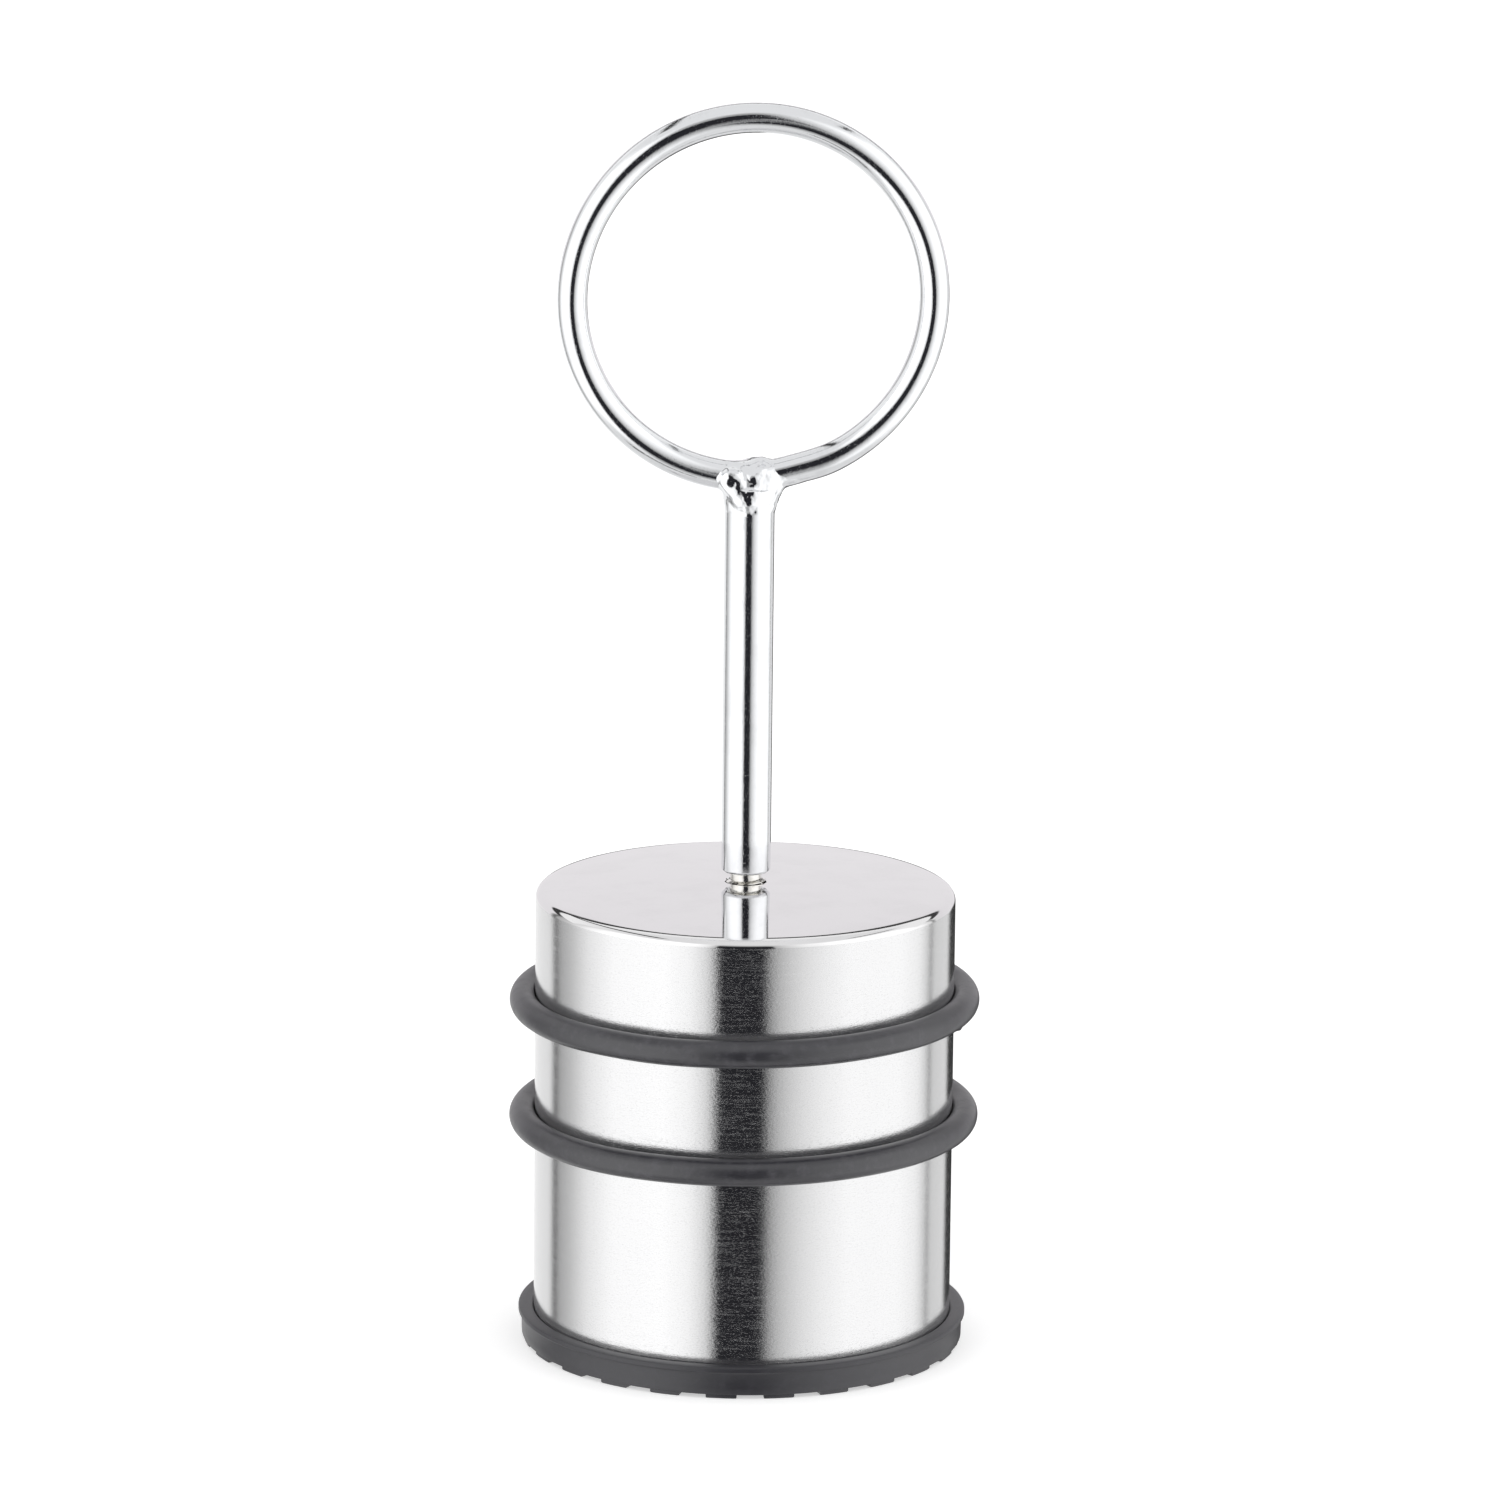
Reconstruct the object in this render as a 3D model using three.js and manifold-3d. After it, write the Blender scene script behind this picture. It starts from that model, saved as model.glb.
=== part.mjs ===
// A weighted floor door stop with a lifting ring. A drawn steel drum filled with cement stands in
// a rubber base cup and wears two rubber bumper rings. A welded rod handle screws on to a stud
// that is cast into the drum. Millimetres, +Z up, origin on the floor at the centre of the drum.
import * as THREE from 'three';
import { mergeVertices } from 'three/addons/utils/BufferGeometryUtils.js';
import Module from 'manifold-3d';

const wasm = await Module();
wasm.setup();

// Driving dimensions.
const GAP = 0.3;
const DRUM_RADIUS = 42.5;
const DRUM_WALL = 0.8;
const DRUM_RIM_Z = 94;
const DRUM_EDGE_RADIUS = 2.4;
const DRUM_CROWN = 1.7;
const SEAT_Z = 3.5;
const CLOSING_PLATE_THICKNESS = 1.2;

const BUMPER_BAR_RADIUS = 2.75;
const BUMPER_RING_RADIUS = 44.9;
const UPPER_BUMPER_Z = 71.35;
const LOWER_BUMPER_Z = 47.15;
const BUMPER_TILT = THREE.MathUtils.degToRad(0.6);

const CUP_LIP_RADIUS = 45.6;
const CUP_WALL_RADIUS = 44.9;
const CUP_LIP_THICKNESS = 1;
const CUP_TOP_Z = 6.7;
const LUG_HEIGHT = 0.8;
const LUG_COUNT = 24;
const LUG_WIDTH_ANGLE = THREE.MathUtils.degToRad(6.5);
const LUG_FIRST_ANGLE = THREE.MathUtils.degToRad(-95);
const LUG_INNER_RADIUS = 35;
const INNER_LUG_COUNT = 12;
const INNER_LUG_WIDTH_ANGLE = THREE.MathUtils.degToRad(13);
const INNER_LUG_RADII = [15, 24];

const THREAD_RADIUS = 4;
const THREAD_PITCH = 1.25;
const THREAD_ROOT_RADIUS = 3.3;
const NUT_ACROSS_FLATS = 13;
const NUT_HEIGHT = 6.5;
const WASHER_RADIUS = 15;
const WASHER_THICKNESS = 2;
const ANCHOR_WASHER_Z = 16;
const STUD_BOTTOM_Z = 8;

const STEM_RADIUS = 5;
const STEM_BOTTOM_Z = 97.8;
const STEM_TOP_Z = 175;
const STEM_CHAMFER = 0.5;
const THREAD_ENGAGEMENT = 12.5;

const RING_RADIUS = 36.5;
const RING_BAR_RADIUS = 3;
const RING_CENTRE_Z = 215;
const HANDLE_TURN = THREE.MathUtils.degToRad(6);
const BEAD_HALF_WIDTHS = [6.5, 5.7, 5.5];
const BEAD_LUMP = 0.035;

// Steel, rubber and cement.
const brushedSteel = new THREE.MeshStandardMaterial({ color: 0xcfcfd0, roughness: 0.32, metalness: 1 });
const plainSteel = new THREE.MeshStandardMaterial({ color: 0xa9a8a4, roughness: 0.45, metalness: 1 });
const platedSteel = new THREE.MeshStandardMaterial({ color: 0xe2e4e6, roughness: 0.12, metalness: 1 });
const zincSteel = new THREE.MeshStandardMaterial({ color: 0xc9c2ae, roughness: 0.35, metalness: 1 });
const darkRubber = new THREE.MeshStandardMaterial({ color: 0x3a383c, roughness: 0.7, metalness: 0 });
const cement = new THREE.MeshStandardMaterial({ color: 0x9b9a95, roughness: 0.95, metalness: 0 });

// A named mesh for one sub-part.
function part(name, geometry, material) {
  const mesh = new THREE.Mesh(geometry, material);
  mesh.name = name;
  return mesh;
}

// A solid or ring of revolution about +Z, from [radius, z] pairs.
function turned(outline, segments) {
  const points = outline.map(([radius, z]) => new THREE.Vector2(radius, z));
  return new THREE.LatheGeometry(points, segments).rotateX(Math.PI / 2);
}

// [radius, z] pairs along an arc, from one angle to another, in radians.
function arc(radius, z, arcRadius, from, to, steps) {
  return Array.from({ length: steps + 1 }, (_, i) => {
    const angle = from + ((to - from) * i) / steps;
    return [radius + arcRadius * Math.cos(angle), z + arcRadius * Math.sin(angle)];
  });
}

// A geometry as a solid for the boolean library: shared vertices, and no collapsed triangles.
function solid(geometry) {
  const bare = geometry.clone();
  bare.deleteAttribute('normal');
  bare.deleteAttribute('uv');
  const merged = mergeVertices(bare, 1e-4);
  const index = merged.index.array;
  const kept = [];
  for (let i = 0; i < index.length; i += 3) {
    const [a, b, c] = [index[i], index[i + 1], index[i + 2]];
    if (a !== b && b !== c && c !== a) kept.push(a, b, c);
  }
  const vertProperties = new Float32Array(merged.attributes.position.array);
  const triVerts = new Uint32Array(kept);
  return new wasm.Manifold(new wasm.Mesh({ numProp: 3, vertProperties, triVerts }));
}

// A solid as a geometry for a mesh.
function geometryOf(manifold) {
  const mesh = manifold.getMesh();
  const geometry = new THREE.BufferGeometry();
  geometry.setAttribute('position', new THREE.BufferAttribute(mesh.vertProperties, 3));
  geometry.setIndex(new THREE.BufferAttribute(mesh.triVerts, 1));
  geometry.computeVertexNormals();
  return geometry;
}

// A raised block between two radii, centred on an angle.
function sectorBlock(innerRadius, outerRadius, centreAngle, widthAngle, height) {
  const from = centreAngle - widthAngle / 2;
  const to = centreAngle + widthAngle / 2;
  const outline = new THREE.Shape();
  outline.absarc(0, 0, outerRadius, from, to, false);
  outline.absarc(0, 0, innerRadius, to, from, true);
  return new THREE.ExtrudeGeometry(outline, { depth: height, bevelEnabled: false, curveSegments: 3 });
}

// The drum's top plate rises from its rim to its centre. Height of its outer face at a radius.
const plateRadius = DRUM_RADIUS - DRUM_EDGE_RADIUS;
function plateZ(radius) {
  return DRUM_RIM_Z + DRUM_CROWN * (1 - (radius / plateRadius) ** 2);
}

// [radius, z] pairs across the plate's face, lowered by an offset.
function plateOutline(fromRadius, toRadius, offset, steps) {
  return Array.from({ length: steps + 1 }, (_, i) => {
    const radius = fromRadius + ((toRadius - fromRadius) * i) / steps;
    return [radius, plateZ(radius) - offset];
  });
}

// The drawn steel drum: one thin wall, open below, with a hole for the stud in its top plate.
function drumShell() {
  const holeRadius = THREAD_RADIUS + GAP;
  const innerEdge = DRUM_EDGE_RADIUS - DRUM_WALL;
  const edgeZ = DRUM_RIM_Z - DRUM_EDGE_RADIUS;
  const outline = [
    [DRUM_RADIUS, SEAT_Z],
    ...arc(plateRadius, edgeZ, DRUM_EDGE_RADIUS, 0, Math.PI / 2, 6),
    ...plateOutline(plateRadius - 3, holeRadius, 0, 5),
    ...plateOutline(holeRadius, plateRadius - 3, DRUM_WALL, 5),
    ...arc(plateRadius, edgeZ, innerEdge, Math.PI / 2, 0, 4),
    [DRUM_RADIUS - DRUM_WALL, SEAT_Z],
    [DRUM_RADIUS, SEAT_Z],
  ];
  return part('drum_shell', turned(outline, 72), brushedSteel);
}

// The cement weight, cast round the stud and its anchor, with a pocket for the weld nut.
function cementBallast() {
  const radius = DRUM_RADIUS - DRUM_WALL - GAP;
  const bottomZ = SEAT_Z + CLOSING_PLATE_THICKNESS + GAP;
  const boreRadius = THREAD_RADIUS + GAP;
  const nutPocket = NUT_ACROSS_FLATS / Math.sqrt(3) + GAP;
  const washerPocket = WASHER_RADIUS + GAP;
  const skin = DRUM_WALL + GAP;
  const edge = DRUM_EDGE_RADIUS - skin;
  const anchorNutZ = ANCHOR_WASHER_Z - GAP;
  const outline = [
    [0, bottomZ],
    [radius, bottomZ],
    ...arc(plateRadius, DRUM_RIM_Z - DRUM_EDGE_RADIUS, edge, 0, Math.PI / 2, 4),
    ...plateOutline(plateRadius - 3, nutPocket, skin, 4),
    [nutPocket, weldNutZ() - GAP],
    [boreRadius, weldNutZ() - GAP],
    [boreRadius, ANCHOR_WASHER_Z + WASHER_THICKNESS + GAP],
    [washerPocket, ANCHOR_WASHER_Z + WASHER_THICKNESS + GAP],
    [washerPocket, anchorNutZ],
    [nutPocket, anchorNutZ],
    [nutPocket, anchorNutZ - NUT_HEIGHT - GAP],
    [boreRadius, anchorNutZ - NUT_HEIGHT - GAP],
    [boreRadius, STUD_BOTTOM_Z - GAP],
    [0, STUD_BOTTOM_Z - GAP],
  ];
  return part('cement_ballast', turned(outline, 48), cement);
}

// Lower face of the nut that is welded under the top plate.
function weldNutZ() {
  return plateZ(NUT_ACROSS_FLATS / 2) - DRUM_WALL - GAP - NUT_HEIGHT;
}

// A hexagon nut with a plain bore, its lower face at a height.
function hexNut(name, z) {
  const cornerRadius = NUT_ACROSS_FLATS / Math.sqrt(3);
  const corners = Array.from({ length: 6 }, (_, i) => {
    const angle = (i * Math.PI) / 3;
    return new THREE.Vector2(cornerRadius * Math.cos(angle), cornerRadius * Math.sin(angle));
  });
  const outline = new THREE.Shape(corners);
  outline.holes.push(new THREE.Path().absarc(0, 0, THREAD_RADIUS + GAP, 0, 2 * Math.PI, true));
  const options = { depth: NUT_HEIGHT, bevelEnabled: false, curveSegments: 12 };
  const nut = part(name, new THREE.ExtrudeGeometry(outline, options), zincSteel);
  nut.position.z = z;
  return nut;
}

// The wide washer that keeps the stud from pulling out of the cement.
function anchorWasher() {
  const holeRadius = THREAD_RADIUS + GAP;
  const topZ = ANCHOR_WASHER_Z + WASHER_THICKNESS;
  const outline = [
    [holeRadius, ANCHOR_WASHER_Z],
    [WASHER_RADIUS, ANCHOR_WASHER_Z],
    [WASHER_RADIUS, topZ],
    [holeRadius, topZ],
    [holeRadius, ANCHOR_WASHER_Z],
  ];
  return part('anchor_washer', turned(outline, 32), zincSteel);
}

// The steel disc that closes the drum below the cement.
function closingPlate() {
  const radius = DRUM_RADIUS - DRUM_WALL - GAP;
  const disc = new THREE.CylinderGeometry(radius, radius, CLOSING_PLATE_THICKNESS, 48);
  const plate = part('closing_plate', disc.rotateX(Math.PI / 2), plainSteel);
  plate.position.z = SEAT_Z + CLOSING_PLATE_THICKNESS / 2;
  return plate;
}

// A helix about +Z whose section keeps facing outwards, for cutting a screw thread.
class ThreadPath extends THREE.Curve {
  constructor(radius, pitch, startZ, turns) {
    super();
    Object.assign(this, { radius, pitch, startZ, turns });
  }

  getPoint(t, target = new THREE.Vector3()) {
    const angle = 2 * Math.PI * this.turns * t;
    const z = this.startZ + this.pitch * this.turns * t;
    return target.set(this.radius * Math.cos(angle), this.radius * Math.sin(angle), z);
  }

  computeFrenetFrames(segments) {
    const frames = { tangents: [], normals: [], binormals: [] };
    for (let i = 0; i <= segments; i += 1) {
      const angle = (2 * Math.PI * this.turns * i) / segments;
      frames.tangents.push(new THREE.Vector3(-Math.sin(angle), Math.cos(angle), 0));
      frames.normals.push(new THREE.Vector3(Math.cos(angle), Math.sin(angle), 0));
      frames.binormals.push(new THREE.Vector3(0, 0, -1));
    }
    return frames;
  }
}

// The stud: a right-hand thread where the stem screws on, and a plain shank in the cement.
function stud() {
  const topZ = STEM_BOTTOM_Z + THREAD_ENGAGEMENT;
  const threadZ = DRUM_RIM_Z - 0.5;
  const shankRadius = THREAD_RADIUS - 0.05;
  const lead = THREAD_RADIUS - THREAD_ROOT_RADIUS;
  const core = solid(turned([
    [0, STUD_BOTTOM_Z],
    [shankRadius, STUD_BOTTOM_Z],
    [shankRadius, threadZ],
    [THREAD_ROOT_RADIUS, threadZ + lead],
    [THREAD_ROOT_RADIUS, topZ],
    [0, topZ],
  ], 28));
  const ridge = new THREE.Shape([
    new THREE.Vector2(-0.25, -0.55),
    new THREE.Vector2(lead, -0.08),
    new THREE.Vector2(lead, 0.08),
    new THREE.Vector2(-0.25, 0.55),
  ]);
  const startZ = threadZ - THREAD_PITCH;
  const turns = (topZ - startZ) / THREAD_PITCH + 1;
  const path = new ThreadPath(THREAD_ROOT_RADIUS, THREAD_PITCH, startZ, turns);
  const sweep = { steps: Math.round(12 * turns), bevelEnabled: false, extrudePath: path };
  const thread = solid(new THREE.ExtrudeGeometry(ridge, sweep));
  const envelope = solid(turned([
    [0, STUD_BOTTOM_Z],
    [2 * THREAD_RADIUS, STUD_BOTTOM_Z],
    [2 * THREAD_RADIUS, topZ - THREAD_RADIUS - lead],
    [THREAD_ROOT_RADIUS, topZ],
    [0, topZ],
  ], 28));
  return part('threaded_stud', geometryOf(core.add(thread).intersect(envelope)), zincSteel);
}

// A rubber ring stretched round the drum, flat where it presses on the wall. It was pushed on by
// hand, so it lies a little higher on one side.
function bumperRing(name, z) {
  const flatRadius = DRUM_RADIUS + GAP;
  const flatAngle = Math.acos((flatRadius - BUMPER_RING_RADIUS) / BUMPER_BAR_RADIUS);
  const outline = arc(BUMPER_RING_RADIUS, 0, BUMPER_BAR_RADIUS, -flatAngle, flatAngle, 12);
  outline.push(outline[0]);
  const ring = part(name, turned(outline, 60), darkRubber);
  ring.position.z = z;
  ring.rotation.y = -BUMPER_TILT;
  return ring;
}

// The rubber cup under the drum: floor, wall, lip and the tread lugs it stands on.
function baseCup() {
  const innerRadius = DRUM_RADIUS + GAP;
  const lipZ = CUP_TOP_Z - CUP_LIP_THICKNESS;
  const floorTopZ = SEAT_Z - GAP;
  let cup = solid(turned([
    [0, LUG_HEIGHT],
    [CUP_WALL_RADIUS, LUG_HEIGHT],
    [CUP_WALL_RADIUS, lipZ - 0.4],
    [CUP_LIP_RADIUS, lipZ],
    [CUP_LIP_RADIUS, CUP_TOP_Z - 0.25],
    [CUP_LIP_RADIUS - 0.25, CUP_TOP_Z],
    [innerRadius, CUP_TOP_Z],
    [innerRadius, floorTopZ],
    [0, floorTopZ],
  ], 72));
  for (let i = 0; i < LUG_COUNT; i += 1) {
    const angle = LUG_FIRST_ANGLE + (2 * Math.PI * i) / LUG_COUNT;
    const radius = CUP_WALL_RADIUS - 0.05;
    const lug = sectorBlock(LUG_INNER_RADIUS, radius, angle, LUG_WIDTH_ANGLE, 2 * LUG_HEIGHT);
    cup = cup.add(solid(lug));
  }
  for (let i = 0; i < INNER_LUG_COUNT; i += 1) {
    const angle = LUG_FIRST_ANGLE + (2 * Math.PI * i) / INNER_LUG_COUNT;
    const lug = sectorBlock(...INNER_LUG_RADII, angle, INNER_LUG_WIDTH_ANGLE, 2 * LUG_HEIGHT);
    cup = cup.add(solid(lug));
  }
  return part('base_cup', geometryOf(cup), darkRubber);
}

// The handle's stem: a round bar, chamfered below, with a blind tapped hole for the stud.
function stem() {
  const holeRadius = THREAD_RADIUS + GAP;
  const holeTopZ = STEM_BOTTOM_Z + THREAD_ENGAGEMENT + GAP;
  const outline = [
    [0, holeTopZ + 0.6 * holeRadius],
    [holeRadius, holeTopZ],
    [holeRadius, STEM_BOTTOM_Z],
    [STEM_RADIUS - STEM_CHAMFER, STEM_BOTTOM_Z],
    [STEM_RADIUS, STEM_BOTTOM_Z + STEM_CHAMFER],
    [STEM_RADIUS, STEM_TOP_Z - STEM_CHAMFER],
    [STEM_RADIUS - STEM_CHAMFER, STEM_TOP_Z],
    [0, STEM_TOP_Z],
  ];
  return part('stem', turned(outline, 36), platedSteel);
}

// A round bar bent into a ring that stands upright on the stem.
function ringBar(barRadius) {
  const torus = new THREE.TorusGeometry(RING_RADIUS, barRadius, 14, 72);
  return torus.rotateX(Math.PI / 2).translate(0, 0, RING_CENTRE_Z);
}

// The weld that joins the ring to the stem: a lump that fits round both.
function weldBead() {
  const lump = new THREE.SphereGeometry(1, 28, 18);
  const position = lump.attributes.position;
  const point = new THREE.Vector3();
  for (let i = 0; i < position.count; i += 1) {
    point.fromBufferAttribute(position, i);
    const swell = Math.sin(5 * point.x + 1) * Math.cos(6 * point.z) + Math.sin(7 * point.y);
    point.multiplyScalar(1 + BEAD_LUMP * swell);
    position.setXYZ(i, point.x, point.y, point.z);
  }
  lump.scale(...BEAD_HALF_WIDTHS);
  lump.translate(0, 0, RING_CENTRE_Z - RING_RADIUS - 1);
  const stemRoom = solid(turned([
    [0, STEM_BOTTOM_Z],
    [STEM_RADIUS + GAP, STEM_BOTTOM_Z],
    [STEM_RADIUS + GAP, STEM_TOP_Z + GAP],
    [0, STEM_TOP_Z + GAP],
  ], 36));
  const bead = solid(lump).subtract(solid(ringBar(RING_BAR_RADIUS + GAP))).subtract(stemRoom);
  return part('weld_bead', geometryOf(bead), platedSteel);
}

const handle = new THREE.Group();
handle.rotation.z = HANDLE_TURN;
handle.add(stem());
handle.add(part('ring_handle', ringBar(RING_BAR_RADIUS), platedSteel));
handle.add(weldBead());

const drum = new THREE.Group();
drum.add(drumShell());
drum.add(cementBallast());
drum.add(hexNut('weld_nut', weldNutZ()));
drum.add(stud());
drum.add(anchorWasher());
drum.add(hexNut('anchor_nut', ANCHOR_WASHER_Z - GAP - NUT_HEIGHT));
drum.add(closingPlate());
drum.add(baseCup());
drum.add(bumperRing('upper_bumper_ring', UPPER_BUMPER_Z));
drum.add(bumperRing('lower_bumper_ring', LOWER_BUMPER_Z));

const doorStop = new THREE.Group();
doorStop.add(drum);
doorStop.add(handle);

export default doorStop;
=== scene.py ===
"""A weighted door stop: brushed steel drum, rubber bumper rings and base cup, screw-on ring handle."""

import math

import bmesh
import bpy
from mathutils import Euler, Matrix, Vector, noise


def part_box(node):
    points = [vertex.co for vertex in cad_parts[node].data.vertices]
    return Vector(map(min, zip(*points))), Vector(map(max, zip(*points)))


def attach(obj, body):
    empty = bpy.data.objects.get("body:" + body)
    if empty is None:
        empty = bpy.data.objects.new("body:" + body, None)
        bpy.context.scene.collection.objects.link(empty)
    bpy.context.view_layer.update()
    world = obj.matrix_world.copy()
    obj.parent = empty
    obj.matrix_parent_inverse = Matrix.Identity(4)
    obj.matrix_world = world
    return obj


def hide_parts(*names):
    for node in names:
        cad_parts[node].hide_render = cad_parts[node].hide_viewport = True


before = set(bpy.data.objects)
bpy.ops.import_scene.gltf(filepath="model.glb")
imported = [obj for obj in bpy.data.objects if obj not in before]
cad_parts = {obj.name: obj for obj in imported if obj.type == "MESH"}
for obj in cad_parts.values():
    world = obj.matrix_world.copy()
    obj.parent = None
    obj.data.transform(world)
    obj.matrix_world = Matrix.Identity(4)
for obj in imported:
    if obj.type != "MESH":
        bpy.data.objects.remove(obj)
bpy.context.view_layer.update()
MM = 0.001

# ---------------------------------------------------------------------------------------------
# Camera. A long lens looks down a little on the front of the stop.
# ---------------------------------------------------------------------------------------------
camera_data = bpy.data.cameras.new("camera")
camera_data.sensor_width = 36
camera_data.lens = 212.4
camera = bpy.data.objects.new("camera", camera_data)
bpy.context.scene.collection.objects.link(camera)
bpy.context.scene.camera = camera
camera.location = (0, -1.737, 0.5296)
look_down = math.radians(90 - 13.18)
look_right = math.radians(-0.019)
tilt = math.radians(0.6)
camera.rotation_mode = "XYZ"
aim = Euler((look_down, 0, look_right)).to_matrix() @ Matrix.Rotation(tilt, 3, "Z")
camera.rotation_euler = aim.to_euler()
bpy.context.scene.view_settings.view_transform = "Standard"


# ---------------------------------------------------------------------------------------------
# Drum shell. A cup drawn from stainless sheet, open below. Its side is brushed round and round
# on a lathe, and its top plate and rolled edge are polished like a mirror.
# ---------------------------------------------------------------------------------------------
def add_node(tree, kind, inputs=None, **settings):
    """A shader node. Its inputs are given by name or place, as a value or as another node's output."""
    node = tree.nodes.new(kind)
    for setting, value in settings.items():
        setattr(node, setting, value)
    for key, value in (inputs or {}).items():
        if isinstance(value, bpy.types.NodeSocket):
            tree.links.new(value, node.inputs[key])
        else:
            node.inputs[key].default_value = value
    return node


def new_group(name, inputs, outputs):
    """A shader node group with number inputs, and outputs given as name: socket type."""
    tree = bpy.data.node_groups.new(name, "ShaderNodeTree")
    for label, value in inputs.items():
        socket = tree.interface.new_socket(label, in_out="INPUT", socket_type="NodeSocketFloat")
        socket.default_value = value
    for label, kind in outputs.items():
        tree.interface.new_socket(label, in_out="OUTPUT", socket_type=kind)
    return tree, tree.nodes.new("NodeGroupInput").outputs, tree.nodes.new("NodeGroupOutput").inputs


def grain(tree, across, along, detail, roughness):
    """Noise from 0 to 1, with so many grains to a metre across (X and Y) and along Z."""
    place = add_node(tree, "ShaderNodeTexCoord").outputs["Object"]
    scale = add_node(tree, "ShaderNodeCombineXYZ", {"X": across, "Y": across, "Z": along})
    inputs = {0: place, 1: scale.outputs[0]}
    scaled = add_node(tree, "ShaderNodeVectorMath", inputs, operation="MULTIPLY").outputs[0]
    inputs = {"Vector": scaled, "Scale": 1.0, "Detail": detail, "Roughness": roughness}
    return add_node(tree, "ShaderNodeTexNoise", inputs).outputs["Fac"]


def remap(tree, value, from_low, from_high, to_low, to_high, smooth=False):
    """Value moved from one range to another and kept inside it."""
    inputs = {
        "Value": value, "From Min": from_low, "From Max": from_high,
        "To Min": to_low, "To Max": to_high,
    }
    kind = "SMOOTHSTEP" if smooth else "LINEAR"
    return add_node(tree, "ShaderNodeMapRange", inputs, interpolation_type=kind).outputs["Result"]


def calculate(tree, operation, first, second=0.0):
    """One Math node on two numbers."""
    return add_node(tree, "ShaderNodeMath", {0: first, 1: second}, operation=operation).outputs[0]


def blend_colours(tree, amount, first, second):
    """Two colours mixed by an amount from 0 to 1."""
    node = add_node(tree, "ShaderNodeMix", data_type="RGBA")
    for place, value in ((0, amount), (6, first), (7, second)):
        if isinstance(value, bpy.types.NodeSocket):
            tree.links.new(value, node.inputs[place])
        else:
            node.inputs[place].default_value = value if place == 0 else (*value, 1)
    return node.outputs[2]


def new_material(name, **constants):
    """A material with one Principled shader, whose even values are set on its own sockets."""
    material = bpy.data.materials.new(name)
    material.use_nodes = True
    shader = material.node_tree.nodes["Principled BSDF"]
    for label, value in constants.items():
        shader.inputs[label.replace("_", " ")].default_value = value
    return material, material.node_tree, shader


def place_group(tree, group, **values):
    """A node group in a material, with its own values."""
    node = tree.nodes.new("ShaderNodeGroup")
    node.node_tree = group
    for label, value in values.items():
        node.inputs[label.replace("_", " ")].default_value = value
    return node.outputs


def bump_into(tree, shader, height, distance):
    """A height as bumps in the shader's normal. A height of 1 stands for the distance, in metres."""
    inputs = {"Height": height, "Distance": distance, "Strength": 1.0}
    tree.links.new(add_node(tree, "ShaderNodeBump", inputs).outputs[0], shader.inputs["Normal"])


def spun(outline, steps, closed=False):
    """A bmesh turned about +Z from (radius, z) pairs in metres."""
    bm = bmesh.new()
    verts = [bm.verts.new((radius, 0, z)) for radius, z in outline]
    pairs = list(zip(verts, verts[1:]))
    if closed:
        pairs.append((verts[-1], verts[0]))
    edges = [bm.edges.new(pair) for pair in pairs]
    bmesh.ops.spin(
        bm, geom=verts + edges, cent=(0, 0, 0), axis=(0, 0, 1),
        angle=2 * math.pi, steps=steps, use_merge=True, use_duplicate=False,
    )
    bmesh.ops.remove_doubles(bm, verts=bm.verts, dist=1e-7)
    bmesh.ops.recalc_face_normals(bm, faces=bm.faces)
    return bm


def finished(bm, name, body, node, materials, sharp=40):
    """The bmesh as an object that rides on a body, stands for a CAD node and has its finish."""
    mesh = bpy.data.meshes.new(name)
    bm.to_mesh(mesh)
    bm.free()
    mesh.shade_smooth()
    mesh.set_sharp_from_angle(angle=math.radians(sharp))
    piece = bpy.data.objects.new(name, mesh)
    bpy.context.scene.collection.objects.link(piece)
    for material in materials:
        mesh.materials.append(material)
    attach(piece, body)
    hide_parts(node)


def arc(radius, z, arc_radius, start, end, steps):
    """(radius, z) pairs along an arc between two angles in degrees."""
    angles = [math.radians(start + (end - start) * i / steps) for i in range(steps + 1)]
    return [(radius + arc_radius * math.cos(a), z + arc_radius * math.sin(a)) for a in angles]


# Fine scratches that run round +Z: a roughness, a height and a shade from 0 to 1.
brushing, given, out = new_group(
    "brushed_round",
    {"Scratch Length": 0.004, "Scratch Width": 0.0002, "Roughness": 0.11, "Roughness Spread": 0.16},
    {"Roughness": "NodeSocketFloat", "Height": "NodeSocketFloat", "Shade": "NodeSocketFloat"},
)
across = calculate(brushing, "DIVIDE", 1.0, given["Scratch Length"])
along = calculate(brushing, "DIVIDE", 1.0, given["Scratch Width"])
fine = grain(brushing, across, along, 3.0, 0.6)
coarse_across = calculate(brushing, "MULTIPLY", across, 0.28)
coarse_along = calculate(brushing, "MULTIPLY", along, 0.3)
coarse = grain(brushing, coarse_across, coarse_along, 2.0, 0.5)
fine_share = calculate(brushing, "MULTIPLY", fine, 0.6)
both = calculate(brushing, "ADD", fine_share, calculate(brushing, "MULTIPLY", coarse, 0.4))
from_middle = calculate(brushing, "SUBTRACT", both, 0.5)
spread = calculate(brushing, "MULTIPLY", from_middle, given["Roughness Spread"])
rough = calculate(brushing, "ADD", given["Roughness"], calculate(brushing, "MULTIPLY", spread, 2.0))
brushing.links.new(rough, out["Roughness"])
brushing.links.new(both, out["Height"])
brushing.links.new(remap(brushing, both, 0.3, 0.7, 0.0, 1.0), out["Shade"])

# Faint smears, finger marks and rubbed spots: a mask from 0 to 1.
smears, given, out = new_group("smears", {"Size": 0.02}, {"Mask": "NodeSocketFloat"})
per_metre = calculate(smears, "DIVIDE", 1.0, given["Size"])
cloud = grain(smears, per_metre, per_metre, 4.0, 0.6)
smears.links.new(remap(smears, cloud, 0.42, 0.68, 0.0, 1.0, smooth=True), out["Mask"])

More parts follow.
